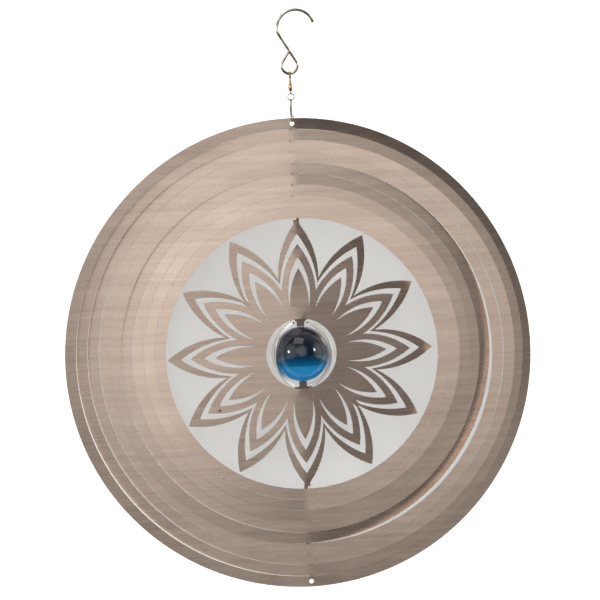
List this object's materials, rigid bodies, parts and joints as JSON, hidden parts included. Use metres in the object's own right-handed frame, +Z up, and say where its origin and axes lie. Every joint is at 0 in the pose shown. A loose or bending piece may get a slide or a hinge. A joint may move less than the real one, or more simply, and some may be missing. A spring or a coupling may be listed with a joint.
{
  "type": "hanging wind spinner",
  "caption": "Hanging wind spinner: concentric brushed steel rings turned about a vertical axis round a petal flower and a blue glass ball, on a swivel and wire hook.",
  "frame": {"origin": "seat inside the hook's bend, straight above the load line", "axes": "+Z up the hanging line; the outermost ring and the hook lie in the XZ plane; -Y is the front"},
  "size_m": [0.2998, 0.035, 0.369],
  "materials": {
    "hook_wire": "polished",
    "swivel_brass": "polished",
    "snap_steel": "polished",
    "clasp_steel": "satin",
    "ring_sheet": "brushed",
    "flower_sheet": "brushed",
    "cage_steel": "satin",
    "ball_glass": "polished"
  },
  "bodies": {
    "hook": {"hook": "hook_wire"},
    "upper_eye": {"swivel_upper_eye": "swivel_brass"},
    "barrel": {"swivel_barrel": "swivel_brass"},
    "lower_eye": {"swivel_lower_eye": "snap_steel"},
    "snap": {"snap_wire": "snap_steel", "snap_clasp": "clasp_steel", "gate_pin": "snap_steel"},
    "gate": {"snap_gate": "snap_steel"},
    "ring_1_body": {"ring_1": "ring_sheet"},
    "ring_2_body": {"ring_2": "ring_sheet"},
    "ring_3_body": {"ring_3": "ring_sheet"},
    "ring_4_body": {"ring_4": "ring_sheet"},
    "ring_5_body": {"ring_5": "ring_sheet"},
    "ring_6_body": {"ring_6": "ring_sheet"},
    "ring_7_body": {"ring_7": "ring_sheet"},
    "ring_8_body": {"ring_8": "ring_sheet"},
    "ring_9_body": {"ring_9": "ring_sheet"},
    "border_body": {"petal_border": "flower_sheet"},
    "flower_body": {"flower": "flower_sheet", "ball_cage": "cage_steel"},
    "ball": {"glass_ball": "ball_glass"}
  },
  "joints": [
    {"name": "eye_swing", "type": "hinge", "parent": "hook", "child": "upper_eye", "pos_m": [0, 0, -0.03806], "axis": [1, 0, 0], "range_deg": [-75, 75]},
    {"name": "barrel_spin", "type": "hinge", "parent": "upper_eye", "child": "barrel", "pos_m": [0, 0, -0.0466], "axis": [0, 0, 1], "continuous": true},
    {"name": "swivel_spin", "type": "hinge", "parent": "barrel", "child": "lower_eye", "pos_m": [0, 0, -0.0492], "axis": [0, 0, 1], "continuous": true},
    {"name": "snap_swing", "type": "hinge", "parent": "lower_eye", "child": "snap", "pos_m": [0, 0, -0.05486], "axis": [1, 0, 0], "range_deg": [-60, 60]},
    {"name": "gate_open", "type": "hinge", "parent": "snap", "child": "gate", "pos_m": [0, -0.0017, -0.06516], "axis": [-1, 0, 0], "range_deg": [0, 20], "stiffness_Nm_per_rad": 0.003},
    {"name": "disc_sway", "type": "hinge", "parent": "snap", "child": "ring_1_body", "pos_m": [0, 0, -0.06851], "axis": [0, 1, 0], "range_deg": [-45, 45]},
    {"name": "ring_2_turn", "type": "hinge", "parent": "ring_1_body", "child": "ring_2_body", "pos_m": [0, 0, -0.21606], "axis": [0, 0, 1], "range_deg": [-45, 45]},
    {"name": "ring_3_turn", "type": "hinge", "parent": "ring_2_body", "child": "ring_3_body", "pos_m": [0, 0, -0.21606], "axis": [0, 0, 1], "range_deg": [-45, 45]},
    {"name": "ring_4_turn", "type": "hinge", "parent": "ring_3_body", "child": "ring_4_body", "pos_m": [0, 0, -0.21606], "axis": [0, 0, 1], "range_deg": [-45, 45]},
    {"name": "ring_5_turn", "type": "hinge", "parent": "ring_4_body", "child": "ring_5_body", "pos_m": [0, 0, -0.21606], "axis": [0, 0, 1], "range_deg": [-45, 45]},
    {"name": "ring_6_turn", "type": "hinge", "parent": "ring_5_body", "child": "ring_6_body", "pos_m": [0, 0, -0.21606], "axis": [0, 0, 1], "range_deg": [-45, 45]},
    {"name": "ring_7_turn", "type": "hinge", "parent": "ring_6_body", "child": "ring_7_body", "pos_m": [0, 0, -0.21606], "axis": [0, 0, 1], "range_deg": [-45, 45]},
    {"name": "ring_8_turn", "type": "hinge", "parent": "ring_7_body", "child": "ring_8_body", "pos_m": [0, 0, -0.21606], "axis": [0, 0, 1], "range_deg": [-45, 45]},
    {"name": "ring_9_turn", "type": "hinge", "parent": "ring_8_body", "child": "ring_9_body", "pos_m": [0, 0, -0.21606], "axis": [0, 0, 1], "range_deg": [-45, 45]},
    {"name": "border_turn", "type": "hinge", "parent": "ring_9_body", "child": "border_body", "pos_m": [0, 0, -0.21606], "axis": [0, 0, 1], "range_deg": [-45, 45]},
    {"name": "flower_tilt", "type": "hinge", "parent": "border_body", "child": "flower_body", "pos_m": [0, 0, -0.21606], "axis": [-0.7063, -0.0345, 0.7071], "range_deg": [-30, 30]},
    {"name": "ball_turn", "type": "hinge", "parent": "flower_body", "child": "ball", "pos_m": [0, 0, -0.21606], "axis": [0, 0, 1], "continuous": true}
  ]
}
